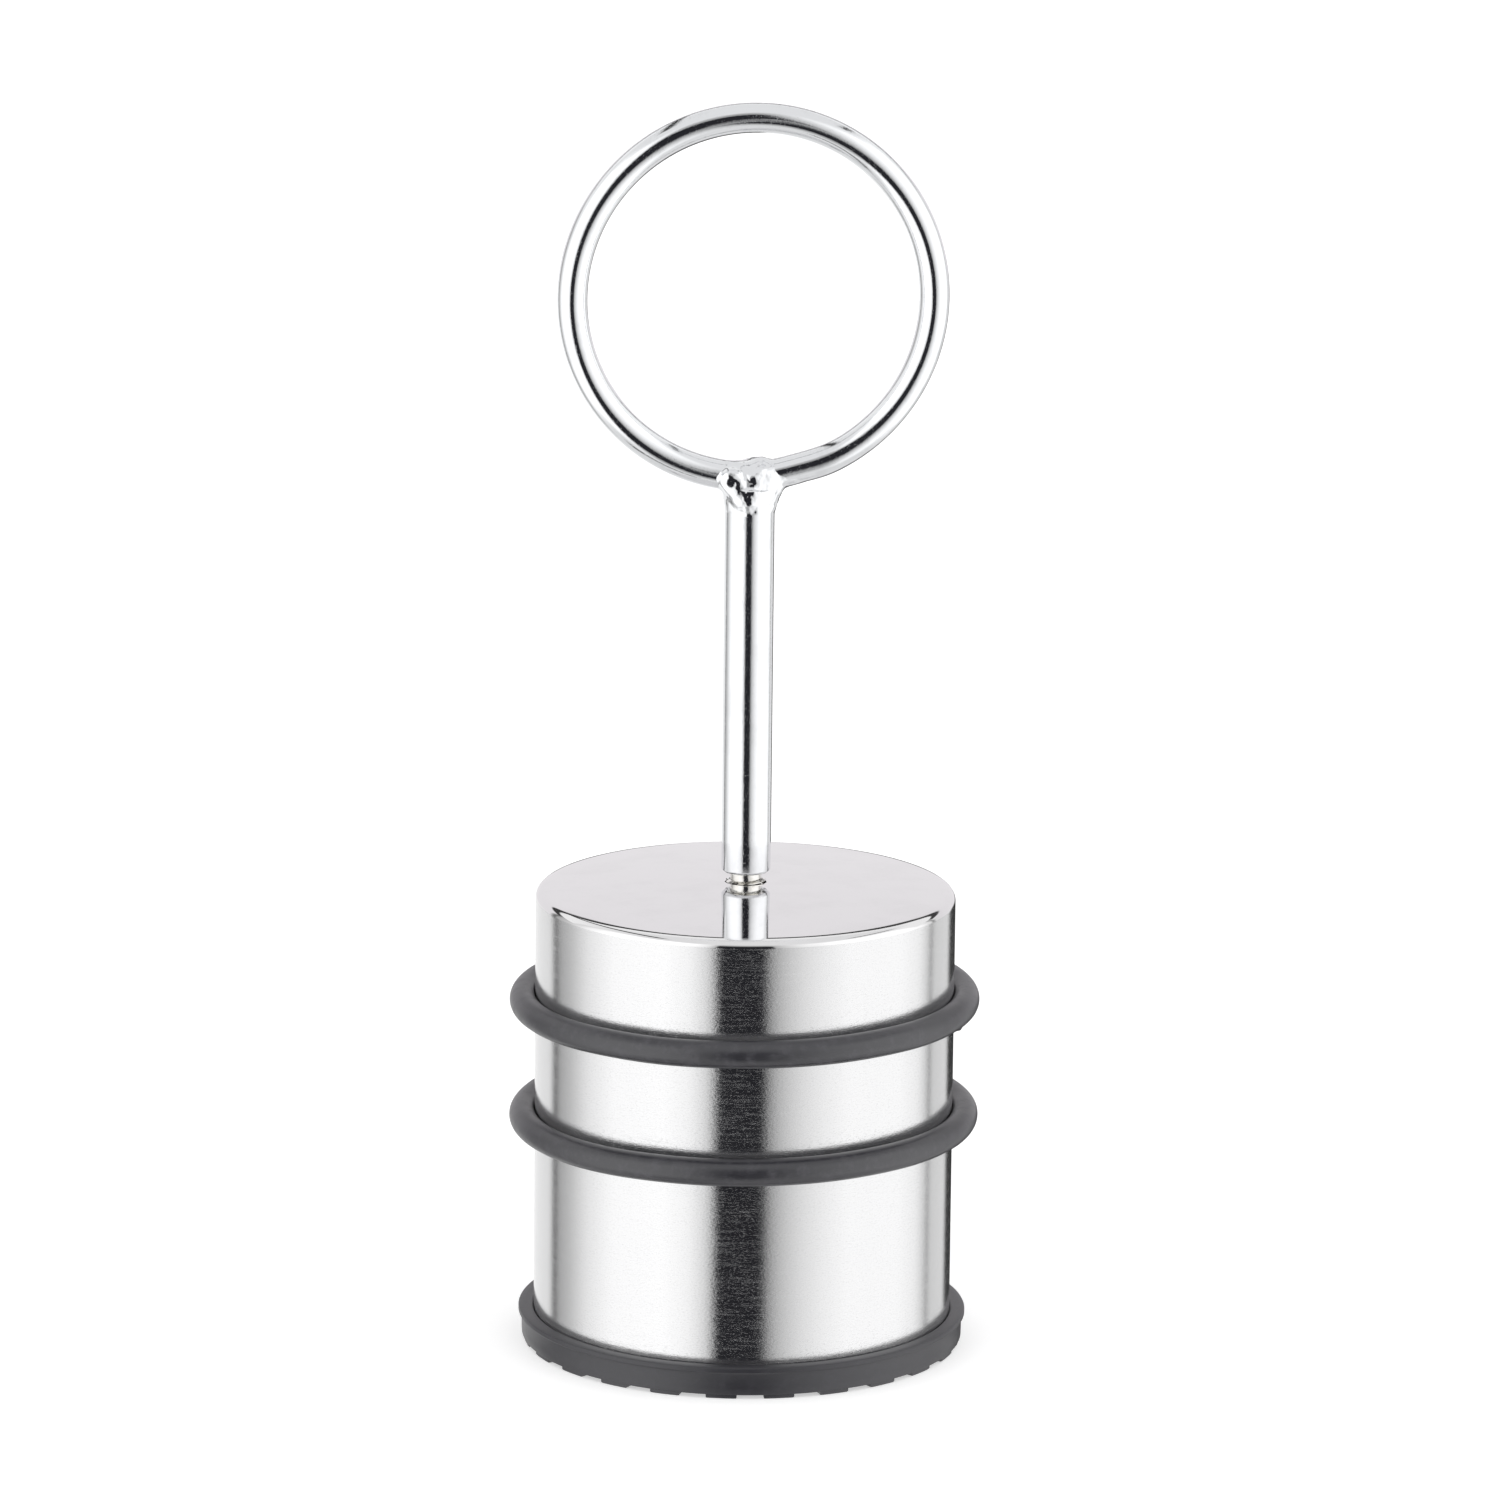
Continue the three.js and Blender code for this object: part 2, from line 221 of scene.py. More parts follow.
# The side: brushed scratches, specks and smears. Dust in the scratches shows where the steel is dark.
brushed_steel, tree, shader = new_material(
    "brushed_stainless_side", Anisotropic=0.88, Anisotropic_Rotation=0.25,
)
scratches = place_group(tree, brushing)
marks = place_group(tree, smears, Size=0.03)
tone = blend_colours(tree, scratches["Shade"], (0.686, 0.686, 0.69), (0.717, 0.717, 0.721))
tree.links.new(tone, shader.inputs["Base Color"])
specks = grain(tree, 1700, 5200, 2.0, 0.6)
rough = calculate(tree, "ADD", scratches["Roughness"], remap(tree, specks, 0.55, 0.7, 0.0, 0.12))
rough = calculate(tree, "ADD", rough, calculate(tree, "MULTIPLY", marks["Mask"], 0.03))
tree.links.new(rough, shader.inputs["Roughness"])
height = calculate(tree, "ADD", scratches["Height"], calculate(tree, "MULTIPLY", specks, 4.0))
dusty = calculate(tree, "MAXIMUM", scratches["Shade"], remap(tree, specks, 0.5, 0.62, 0.0, 1.0))
tree.links.new(remap(tree, dusty, 0.5, 1.0, 1.0, 0.87), shader.inputs["Metallic"])
bump_into(tree, shader, height, 0.000004)

mirror_steel, tree, shader = new_material("polished_stainless_top", Metallic=1.0)
scratches = place_group(
    tree, brushing,
    Scratch_Length=0.012, Scratch_Width=0.0006, Roughness=0.045, Roughness_Spread=0.02,
)
marks = place_group(tree, smears, Size=0.012)
tone = blend_colours(tree, marks["Mask"], (0.83, 0.825, 0.83), (0.80, 0.795, 0.80))
tree.links.new(tone, shader.inputs["Base Color"])
rough = calculate(tree, "ADD", scratches["Roughness"], calculate(tree, "MULTIPLY", marks["Mask"], 0.025))
tree.links.new(rough, shader.inputs["Roughness"])

drum_low, drum_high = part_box("drum_shell")
drum_radius = drum_high.x
drum_wall = 0.8 * MM
crown = 1.7 * MM
rim_z = 94 * MM
plate_radius = drum_radius - 2.4 * MM
edge_radius = 1.75 * MM
shoulder_radius = 7.5 * MM
shoulder_start = 75
shoulder_end = 85.1
stud_hole = 4.15 * MM


def plate_z(radius):
    """Height of the crowned top plate."""
    return rim_z + crown * (1 - (radius / plate_radius) ** 2)


# The rolled edge is a tight bend up from the side, then a slow shoulder that meets the plate.
edge = arc(drum_radius - edge_radius, 0, edge_radius, 0, shoulder_start, 14)
bend_x = edge[-1][0] - shoulder_radius * math.cos(math.radians(shoulder_start))
bend_z = edge[-1][1] - shoulder_radius * math.sin(math.radians(shoulder_start))
edge += arc(bend_x, bend_z, shoulder_radius, shoulder_start, shoulder_end, 8)[1:]
side_top = plate_z(edge[-1][0]) - edge[-1][1]
outline = [(drum_radius, drum_low.z + (side_top - drum_low.z) * i / 8) for i in range(8)]
outline += [(radius, side_top + height) for radius, height in edge]
outline += [(r * MM, plate_z(r * MM)) for r in (38.6, 36, 32, 27, 22, 17, 12, 8, 5)]
outline += [(stud_hole + 0.2 * MM, plate_z(stud_hole)), (stud_hole, plate_z(stud_hole) - 0.2 * MM)]
outline += [(stud_hole, plate_z(stud_hole) - drum_wall)]
outline += [(r * MM, plate_z(r * MM) - drum_wall) for r in (12, 24, 36)]
outline += arc(drum_radius - edge_radius, side_top, edge_radius - drum_wall, 84, 0, 6)
outline += [(drum_radius - drum_wall, drum_low.z)]
bm = spun(outline, 240, closed=True)
polish_z = side_top + 0.3 * MM
for face in bm.faces:
    face.material_index = 1 if face.calc_center_median().z > polish_z else 0
finished(bm, "drum", "weighted_drum", "drum_shell", [brushed_steel, mirror_steel])

# ---------------------------------------------------------------------------------------------
# Weld nut, anchor washer and anchor nut. Zinc-plated hardware that holds the stud: the nut is
# welded under the top plate, and the washer and lower nut are cast into the cement.
# ---------------------------------------------------------------------------------------------
def smeared_metal(name, smear_size, colours, roughnesses, depth):
    """Metal whose smears have the second of two colours and the second of two roughnesses."""
    material, nodes, skin = new_material(name, Metallic=1.0)
    mask = place_group(nodes, smears, Size=smear_size)["Mask"]
    nodes.links.new(blend_colours(nodes, mask, *colours), skin.inputs["Base Color"])
    nodes.links.new(remap(nodes, mask, 0, 1, *roughnesses), skin.inputs["Roughness"])
    bump_into(nodes, skin, mask, depth)
    return material


zinc = smeared_metal(
    "zinc_plated_hardware", smear_size=0.004, colours=((0.62, 0.58, 0.47), (0.5, 0.49, 0.46)),
    roughnesses=(0.28, 0.45), depth=0.00003,
)
for hardware in ("weld_nut", "anchor_washer", "anchor_nut"):
    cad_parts[hardware].data.materials[0] = zinc

# ---------------------------------------------------------------------------------------------
# Threaded stud. A nickel-plated rod with a rolled right-hand M8 thread where the stem screws on,
# and a plain shank below it that the cement grips.
# ---------------------------------------------------------------------------------------------
nickel = smeared_metal(
    "nickel_plated_stud", smear_size=0.0012, colours=((0.87, 0.86, 0.83), (0.79, 0.77, 0.72)),
    roughnesses=(0.1, 0.22), depth=0.00001,
)

stud_low, stud_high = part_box("threaded_stud")
stem_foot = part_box("stem")[0].z
thread_pitch = 1.25 * MM
thread_crest = 3.98 * MM
thread_root = 3.15 * MM
shank_radius = 3.95 * MM
thread_low_z = rim_z + 0.6 * MM
turns_cut_away = 2.29
thread_start_z = thread_low_z - turns_cut_away * thread_pitch
thread_turns = math.ceil((stud_high.z - thread_start_z) / thread_pitch) + 1
turn_steps = 64
neck_top_z = stem_foot + 0.4 * MM
bm = bmesh.new()
one_pitch = [
    (thread_root, 0), (thread_root, 0.14), (thread_crest, 0.44),
    (thread_crest, 0.56), (thread_root, 0.86), (thread_root, 1),
]
verts = [bm.verts.new((radius, 0, thread_start_z + part * thread_pitch)) for radius, part in one_pitch]
edges = [bm.edges.new(pair) for pair in zip(verts, verts[1:])]
bmesh.ops.spin(
    bm, geom=verts + edges, cent=(0, 0, 0), axis=(0, 0, 1), dvec=(0, 0, thread_pitch / turn_steps),
    angle=2 * math.pi * thread_turns, steps=turn_steps * thread_turns,
    use_merge=False, use_duplicate=False,
)
bmesh.ops.remove_doubles(bm, verts=bm.verts, dist=2e-6)
# One crest lies at the plate and ends at the right. Above it is a plain neck, up into the stem.
for vert in bm.verts:
    around = math.atan2(vert.co.y, vert.co.x) / (2 * math.pi) % 1
    turn = (vert.co.z - thread_start_z) / thread_pitch - around
    past_crest = turn > 2.99
    crest_end = turn > 1.99 and (around > 0.985 or around < 0.3)
    if vert.co.z < neck_top_z and (past_crest or crest_end):
        flat = Vector((vert.co.x, vert.co.y, 0)).normalized() * thread_root
        vert.co = flat + Vector((0, 0, vert.co.z))
for height, direction_up in ((thread_low_z, -1), (stud_high.z - 0.05 * MM, 1)):
    bmesh.ops.bisect_plane(
        bm, geom=bm.verts[:] + bm.edges[:] + bm.faces[:], dist=1e-7,
        plane_co=(0, 0, height), plane_no=(0, 0, direction_up), clear_outer=True,
    )
lower_rim = [e for e in bm.edges if e.is_boundary and e.verts[0].co.z < thread_low_z + 1e-6]
shank = [(thread_root, -0.5 * MM), (shank_radius, -1.3 * MM)]
shank += [(shank_radius, stud_low.z - thread_low_z)]
for radius, height in shank:
    grown = bmesh.ops.extrude_edge_only(bm, edges=lower_rim)["geom"]
    lower_rim = [part for part in grown if isinstance(part, bmesh.types.BMEdge)]
    for vert in [part for part in grown if isinstance(part, bmesh.types.BMVert)]:
        flat = Vector((vert.co.x, vert.co.y, 0)).normalized() * radius
        vert.co = flat + Vector((0, 0, thread_low_z + height))
bmesh.ops.holes_fill(bm, edges=[e for e in bm.edges if e.is_boundary])
bmesh.ops.recalc_face_normals(bm, faces=bm.faces)
finished(bm, "stud", "weighted_drum", "threaded_stud", [nickel], sharp=30)

# ---------------------------------------------------------------------------------------------
# Cement ballast and closing plate. Grey cement poured into the upturned drum, and a plain steel
# disc pressed in over it.
# ---------------------------------------------------------------------------------------------
cement, tree, shader = new_material("cast_cement")
grit = grain(tree, 900, 900, 6.0, 0.7)
tone = blend_colours(tree, grit, (0.24, 0.235, 0.22), (0.44, 0.435, 0.42))
tree.links.new(tone, shader.inputs["Base Color"])
tree.links.new(remap(tree, grit, 0.3, 0.7, 0.85, 0.98), shader.inputs["Roughness"])
bump_into(tree, shader, grit, 0.0004)
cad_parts["cement_ballast"].data.materials[0] = cement

plain_steel = smeared_metal(
    "plain_sheet_steel", smear_size=0.01, colours=((0.45, 0.44, 0.43), (0.33, 0.31, 0.29)),
    roughnesses=(0.35, 0.55), depth=0.00004,
)
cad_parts["closing_plate"].data.materials[0] = plain_steel

# ---------------------------------------------------------------------------------------------
# Base cup. Moulded dark rubber: a floor, a low wall with a lip that grips the drum, and tread
# lugs round the underside. It is stretched over the drum's foot.
# ---------------------------------------------------------------------------------------------
# Moulded rubber: pores all over and pale dusty bloom in patches.
rubber_skin, given, out = new_group(
    "moulded_rubber",
    {"Roughness": 0.38, "Bloom": 0.5},
    {"Color": "NodeSocketColor", "Roughness": "NodeSocketFloat", "Height": "NodeSocketFloat"},
)
pores = grain(rubber_skin, 5200, 5200, 3.0, 0.6)
mottle = grain(rubber_skin, 420, 420, 4.0, 0.65)
dusty = remap(rubber_skin, mottle, 0.45, 0.75, 0.0, 1.0, smooth=True)
dusty = calculate(rubber_skin, "MULTIPLY", dusty, given["Bloom"])
colour = blend_colours(rubber_skin, pores, (0.0125, 0.0122, 0.018), (0.0205, 0.0195, 0.027))
rubber_skin.links.new(blend_colours(rubber_skin, dusty, colour, (0.062, 0.059, 0.072)), out["Color"])
rough = calculate(rubber_skin, "ADD", given["Roughness"], calculate(rubber_skin, "MULTIPLY", dusty, 0.2))
rough = calculate(rubber_skin, "ADD", rough, calculate(rubber_skin, "MULTIPLY", pores, 0.06))
rubber_skin.links.new(rough, out["Roughness"])
lumps = calculate(rubber_skin, "ADD", calculate(rubber_skin, "MULTIPLY", pores, 0.35), mottle)
rubber_skin.links.new(lumps, out["Height"])


def rubber_material(name, roughness, bloom, shine):
    """Dark rubber with its own polish, amount of pale bloom and shine."""
    material, nodes, skin = new_material(name, Specular_IOR_Level=shine)
    look = place_group(nodes, rubber_skin, Roughness=roughness, Bloom=bloom)
    nodes.links.new(look["Color"], skin.inputs["Base Color"])
    nodes.links.new(look["Roughness"], skin.inputs["Roughness"])
    bump_into(nodes, skin, look["Height"], 0.00003)
    return material


cup_rubber = rubber_material("base_cup_rubber", roughness=0.36, bloom=0.2, shine=0.85)
cup_low, cup_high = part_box("base_cup")
lug_height = 0.8 * MM
first_lug = math.radians(-95)
outer_lug_start = 35 * MM
outer_lug_count = 24
outer_lug_width = math.radians(7.8)
inner_lug_start = 14 * MM
inner_lug_end = 25 * MM
inner_lug_count = 12
inner_lug_width = math.radians(13)
lip_radius = cup_high.x
wall_radius = lip_radius - 0.7 * MM
lip_z = cup_high.z - 1.1 * MM
seat_z = drum_low.z - 0.3 * MM
inner_radius = drum_radius + 0.12 * MM
outline = [(0, lug_height), (inner_lug_start, lug_height), (inner_lug_end, lug_height)]
outline += [(outer_lug_start, lug_height)]
outline += [(wall_radius - 0.35 * MM, lug_height), (wall_radius - 0.1 * MM, lug_height + 0.1 * MM)]
outline += [(wall_radius, lug_height + 0.35 * MM), (wall_radius + 0.05 * MM, 2.6 * MM)]
outline += [(wall_radius + 0.05 * MM, lip_z - 0.45 * MM), (wall_radius + 0.2 * MM, lip_z - 0.12 * MM)]
outline += [(lip_radius - 0.12 * MM, lip_z), (lip_radius, lip_z + 0.15 * MM)]
outline += [(lip_radius, cup_high.z - 0.3 * MM)]
outline += [(lip_radius - 0.12 * MM, cup_high.z - 0.1 * MM), (lip_radius - 0.35 * MM, cup_high.z)]
outline += [(lip_radius - 1.5 * MM, cup_high.z - 0.02 * MM)]
outline += [(inner_radius + 0.3 * MM, cup_high.z - 0.05 * MM)]
outline += [(inner_radius, cup_high.z - 0.3 * MM), (inner_radius, seat_z), (0, seat_z)]
bm = spun(outline, 360)


def in_sector(face, inner, outer, count, width):
    """Whether a face of the underside lies in one of a ring's evenly spaced lugs."""
    middle = face.calc_center_median()
    radius = math.hypot(middle.x, middle.y)
    turn = (math.atan2(middle.y, middle.x) - first_lug + width / 2) % (2 * math.pi / count)
    return middle.z < lug_height + 1e-6 and inner < radius < outer and turn < width


outer_lugs = (outer_lug_start, wall_radius, outer_lug_count, outer_lug_width)
inner_lugs = (inner_lug_start, inner_lug_end, inner_lug_count, inner_lug_width)
lugs = [f for f in bm.faces if in_sector(f, *outer_lugs)]
lugs += [f for f in bm.faces if in_sector(f, *inner_lugs)]
raised = bmesh.ops.extrude_face_region(bm, geom=lugs)["geom"]
bmesh.ops.delete(bm, geom=lugs, context="FACES_ONLY")
raised_verts = [part for part in raised if isinstance(part, bmesh.types.BMVert)]
bmesh.ops.translate(bm, verts=raised_verts, vec=(0, 0, -lug_height))
raised_faces = {part for part in raised if isinstance(part, bmesh.types.BMFace)}
rims = [e for e in bm.edges if sum(f in raised_faces for f in e.link_faces) == 1]
bmesh.ops.bevel(bm, geom=rims, offset=0.3 * MM, segments=3, profile=0.5, affect="EDGES", material=-1)
bmesh.ops.recalc_face_normals(bm, faces=bm.faces)
finished(bm, "rubber_base", "weighted_drum", "base_cup", [cup_rubber], sharp=32)

# ---------------------------------------------------------------------------------------------
# Bumper rings. Two moulded rubber rings stretched round the drum. They have rolled a little as
# they were pushed on, so the thin moulding lines lie below outside and above inside, and scraps
# of flash still stand on them.
# ---------------------------------------------------------------------------------------------
ring_rubber = rubber_material("bumper_ring_rubber", roughness=0.31, bloom=0.6, shine=1.0)


def bumper_ring(name, node, line_angle, flash, seed):
    """A round bar, flat on the drum, with two moulding lines and scraps of flash on them.

    A scrap is given by the angle round the drum, the side of the bar and its length in millimetres.
    """
    low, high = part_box(node)
    bar_radius = 2.75 * MM
    centre_radius = 44.9 * MM
    scrap_radius = 0.75 * MM
    waviness = 0.12 * MM
    height = (low.z + high.z) / 2
    tilt = math.asin((high.z - low.z - 2 * bar_radius) / 2 / centre_radius)
    flat = drum_radius + 0.08 * MM
    section = []
    for step in range(72):
        angle = math.radians(step * 5)
        past_line = math.degrees(angle) - line_angle
        off_line = min(abs((past_line - line + 180) % 360 - 180) for line in (0, 180))
        radius = bar_radius + (0.09 * MM if off_line < 1 else -0.03 * MM if off_line < 6 else 0)
        from_axis = max(flat, centre_radius + radius * math.cos(angle))
        section.append((from_axis, height + radius * math.sin(angle)))
    bm = spun(section, 300, closed=True)
    for vert in bm.verts:
        around = math.atan2(vert.co.y, vert.co.x)
        spot = Vector((math.cos(around), math.sin(around), seed))
        vert.co.z += waviness * noise.noise(2.3 * spot)
    for turn, line, length in flash:
        out_angle = math.radians(line + line_angle)
        ring_angle = math.radians(turn)
        outward = Vector((math.cos(ring_angle), math.sin(ring_angle), 0))
        push = outward * math.cos(out_angle) + Vector((0, 0, math.sin(out_angle)))
        root = outward * centre_radius + push * bar_radius + Vector((0, 0, height))
        for vert in bm.verts:
            reach = (vert.co - root).length
            if reach < scrap_radius:
                vert.co += push * length * MM * (1 - reach / scrap_radius) ** 1.6
    bmesh.ops.rotate(bm, verts=bm.verts, cent=(0, 0, height), matrix=Matrix.Rotation(-tilt, 3, "Y"))
    finished(bm, name, "weighted_drum", node, [ring_rubber], sharp=60)


bumper_ring("upper_bumper", "upper_bumper_ring", -52, [(169, 0, 0.7), (-22, 0, 0.8), (-80, 180, 0.3)], 1.7)
bumper_ring("lower_bumper", "lower_bumper_ring", -58, [(17, 180, 0.8), (-172, 0, 0.6), (100, 0, 0.5)], 5.2)

# ---------------------------------------------------------------------------------------------
# Stem. A bright-plated round bar, chamfered at its lower end, with a tapped hole for the stud.
# It rises with the handle when that is unscrewed.
# ---------------------------------------------------------------------------------------------
# Bright plating: fine pits, a few deeper holes, a slow ripple, and patches that are worn dull.
plating, given, out = new_group(
    "bright_plating",
    {"Roughness": 0.05, "Pitting": 0.5},
    {"Color": "NodeSocketColor", "Roughness": "NodeSocketFloat", "Height": "NodeSocketFloat"},
)
pits = grain(plating, 4200, 3200, 3.0, 0.7)
hole_grain = grain(plating, 3000, 2600, 2.0, 0.6)
holes = remap(plating, hole_grain, 0.62, 0.72, 0.0, 1.0)
ripple = grain(plating, 700, 260, 2.0, 0.5)
patch = grain(plating, 160, 120, 4.0, 0.6)
worn_patch = remap(plating, patch, 0.5, 0.7, 0.0, 1.0, smooth=True)
worn = calculate(plating, "MULTIPLY", worn_patch, given["Pitting"])
plating.links.new(blend_colours(plating, worn, (0.84, 0.85, 0.865), (0.76, 0.77, 0.785)), out["Color"])
rough = calculate(plating, "ADD", given["Roughness"], calculate(plating, "MULTIPLY", worn, 0.07))
plating.links.new(rough, out["Roughness"])
pit_depth = calculate(plating, "ADD", calculate(plating, "MULTIPLY", worn, 0.7), given["Pitting"])
pitted = calculate(plating, "MULTIPLY", pits, pit_depth)
pitted = calculate(plating, "SUBTRACT", pitted, calculate(plating, "MULTIPLY", holes, given["Pitting"]))
height = calculate(plating, "ADD", pitted, calculate(plating, "MULTIPLY", ripple, 0.6))
plating.links.new(height, out["Height"])


def plated_material(name, roughness, pitting, depth):
    """Bright plating over rolled bar, with its own polish and pits."""
    material, nodes, skin = new_material(name, Metallic=1.0)
    look = place_group(nodes, plating, Roughness=roughness, Pitting=pitting)
    nodes.links.new(look["Color"], skin.inputs["Base Color"])
    nodes.links.new(look["Roughness"], skin.inputs["Roughness"])
    bump_into(nodes, skin, look["Height"], depth)
    return material


stem_plating = plated_material("stem_plating", roughness=0.03, pitting=0.7, depth=0.000013)
stem_low, stem_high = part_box("stem")
stem_radius = 5 * MM
hole_radius = 4.05 * MM
hole_top = stud_high.z + 0.25 * MM
outline = [(0, hole_top + 2.2 * MM), (hole_radius, hole_top), (hole_radius, stem_low.z + 0.4 * MM)]
outline += [(hole_radius + 0.25 * MM, stem_low.z + 0.05 * MM), (stem_radius - 0.6 * MM, stem_low.z)]
outline += [(stem_radius - 0.52 * MM, stem_low.z + 0.04 * MM)]
outline += [(stem_radius - 0.06 * MM, stem_low.z + 0.5 * MM)]
side_foot = stem_low.z + 0.65 * MM
side_length = stem_high.z - stem_low.z - 1.3 * MM
outline += [(stem_radius, side_foot)]
outline += [(stem_radius, side_foot + side_length * i / 12) for i in range(1, 13)]
outline += [(stem_radius - 0.5 * MM, stem_high.z), (0, stem_high.z)]
bm = spun(outline, 96)
finished(bm, "handle_rod", "handle_stem", "stem", [stem_plating], sharp=30)

# ---------------------------------------------------------------------------------------------
# Ring handle. A thinner bright-plated bar bent into a circle, its two ends butted together on
# top of the stem, where the weld hides them.
# ---------------------------------------------------------------------------------------------
ring_plating = plated_material("ring_plating", roughness=0.025, pitting=0.7, depth=0.000009)
ring_low, ring_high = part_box("ring_handle")
bar_radius = 3 * MM
shrink = 0.22 * MM
ring_radius = (ring_high.z - ring_low.z) / 2 - bar_radius - shrink
ring_shift = Vector((0.4 * MM, 0, 0.33 * MM))
ring_z = (ring_low.z + ring_high.z) / 2
ring_turn = math.radians(6)
bent_length = 18 * MM
bent_lift = 0.45 * MM
bm = bmesh.new()
section = bmesh.ops.create_circle(bm, cap_ends=False, radius=bar_radius, segments=40)["verts"]
bmesh.ops.translate(bm, verts=section, vec=(ring_radius, 0, 0))
bmesh.ops.spin(
    bm, geom=bm.verts[:] + bm.edges[:], cent=(0, 0, 0), axis=(0, 1, 0),
    angle=2 * math.pi, steps=240, use_merge=True, use_duplicate=False,
)
bmesh.ops.remove_doubles(bm, verts=bm.verts, dist=1e-7)
# It is welded a little off centre, and its right end is bent up where it meets the weld.
bmesh.ops.translate(bm, verts=bm.verts, vec=ring_shift)
for vert in bm.verts:
    if vert.co.z < 0 and 0 < vert.co.x < bent_length:
        vert.co.z += bent_lift * math.sin(math.pi * vert.co.x / bent_length) ** 2
bmesh.ops.rotate(bm, verts=bm.verts, cent=(0, 0, 0), matrix=Matrix.Rotation(ring_turn, 3, "Z"))
bmesh.ops.translate(bm, verts=bm.verts, vec=(0, 0, ring_z))
bmesh.ops.recalc_face_normals(bm, faces=bm.faces)
finished(bm, "lifting_ring", "handle_ring", "ring_handle", [ring_plating], sharp=60)

# ---------------------------------------------------------------------------------------------
# Weld bead. A lumpy hand-made weld that runs round the top of the stem and over the foot of the
# ring, ground no further than it had to be, then plated with them.
# ---------------------------------------------------------------------------------------------
weld_plating = plated_material("weld_plating", roughness=0.03, pitting=0.35, depth=0.000014)
bead_z = ring_low.z + bar_radius
# Sizes about the foot of the ring, in millimetres: a sleeve of weld on the ring's bar that gets
# thinner to each side, and a collar round the stem that gets wider upward.
foot_x = 0.4
foot_z = 0.55
sleeve_radius = 3.3
sleeve_taper = 0.06
collar_radius = 5.0
collar_flare = 0.13
collar_high = -1.5
collar_low = -7.6
stem_end = -6.2
# Lumps of weld metal about the foot of the ring, in millimetres: the two ends of each, its radius,
# the way its flattened face looks, how far that face is from the lump's middle line, and the
# radius that the face is rounded to.
weld_lumps = [
    ((-3.9, -2.4, 0.4), (-0.8, -3.3, -3.4), 2.7, (-0.02, -1.00, 0.02), 2.3, 5),
    ((0.6, -0.6, 0.1), (2.2, -0.4, 0.5), 4.0, (0.12, -0.80, 0.58), 3.2, 13),
    ((1.6, 0.2, -0.9), (0.7, 0.2, -3.4), 5.1, (0.42, -0.90, 0.08), 4.35, 13),
    ((0.9, -0.3, 2.9), (1.7, -0.3, 3.0), 1.3, (0.20, -0.70, 0.68), 0.9, 6),
    ((0.8, 3.1, -1.6), (0.8, 3.1, -1.6), 3.2, (0.05, 0.95, 0.30), 2.6, 13),
    ((-2.4, 2.4, -0.2), (-2.4, 2.4, -0.2), 2.9, (-0.40, 0.80, 0.40), 2.5, 13),
]


def melted(first, second, blend_width):
    """Two distances joined as molten metal joins, with a fillet between them."""
    mix = max(blend_width - abs(first - second), 0) / blend_width
    return min(first, second) - mix * mix * blend_width / 4


def weld_distance(point):
    """Roughly how far a point lies outside the weld, in millimetres about the foot of the ring."""
    bend_radius = ring_radius / MM
    from_bend = math.hypot(point.x - foot_x, point.z - bend_radius - foot_z) - bend_radius
    distance = math.hypot(from_bend, point.y) - (sleeve_radius - sleeve_taper * abs(point.x))
    collar = math.hypot(point.x, point.y) - (collar_radius + collar_flare * (point.z - stem_end))
    distance = melted(distance, max(collar, point.z - collar_high, collar_low - point.z), 1.4)
    for start, end, radius, facing, depth, face_radius in weld_lumps:
        span = Vector(end) - Vector(start)
        along_span = (point - Vector(start)).dot(span) / max(span.length_squared, 1e-9)
        nearest = Vector(start) + span * min(max(along_span, 0), 1)
        lump = (point - nearest).length - radius
        hub = nearest + Vector(facing).normalized() * (depth - face_radius)
        face = (point - hub).length - face_radius
        distance = melted(distance, -melted(-lump, -face, 0.5), 0.8)
    swell = 0.16 * noise.noise(point * 0.5) + 0.05 * noise.noise(point * 1.4)
    swell += 0.012 * noise.noise(point * 4.0)
    return distance + swell


# The skin is where each ray from the weld's heart leaves the metal, found by halving.
bm = bmesh.new()
bmesh.ops.create_icosphere(bm, subdivisions=6, radius=1)
heart = Vector((0, 0, -1.5))
ray_length = 16.0
halvings = 14
for vert in bm.verts:
    inside = 0.0
    outside = ray_length
    for _ in range(halvings):
        middle = (inside + outside) / 2
        if weld_distance(heart + vert.co * middle) < 0:
            inside = middle
        else:
            outside = middle
    vert.co = (heart + vert.co * inside) * MM
bmesh.ops.rotate(bm, verts=bm.verts, cent=(0, 0, 0), matrix=Matrix.Rotation(ring_turn, 3, "Z"))
bmesh.ops.translate(bm, verts=bm.verts, vec=(0, 0, bead_z))
finished(bm, "weld", "handle_ring", "weld_bead", [weld_plating], sharp=70)

# ---------------------------------------------------------------------------------------------
# Floor and light. A plain white floor, and a world that lights by direction: bright walls that
# get darker beside the camera and far to the side, a dark gap round the camera, a pale backdrop.
# ---------------------------------------------------------------------------------------------
floor_material, tree, shader = new_material("white_floor", Roughness=0.9)
shader.inputs["Base Color"].default_value = (0.78, 0.78, 0.78, 1)
shader.inputs["Specular IOR Level"].default_value = 0.0
shader.inputs["Emission Color"].default_value = (1, 1, 1, 1)
shader.inputs["Emission Strength"].default_value = 0.5
bm = bmesh.new()
bmesh.ops.create_circle(bm, cap_ends=True, radius=6, segments=64)
mesh = bpy.data.meshes.new("floor")
bm.to_mesh(mesh)
bm.free()
mesh.materials.append(floor_material)
floor = bpy.data.objects.new("floor", mesh)
floor.visible_glossy = False
bpy.context.scene.collection.objects.link(floor)

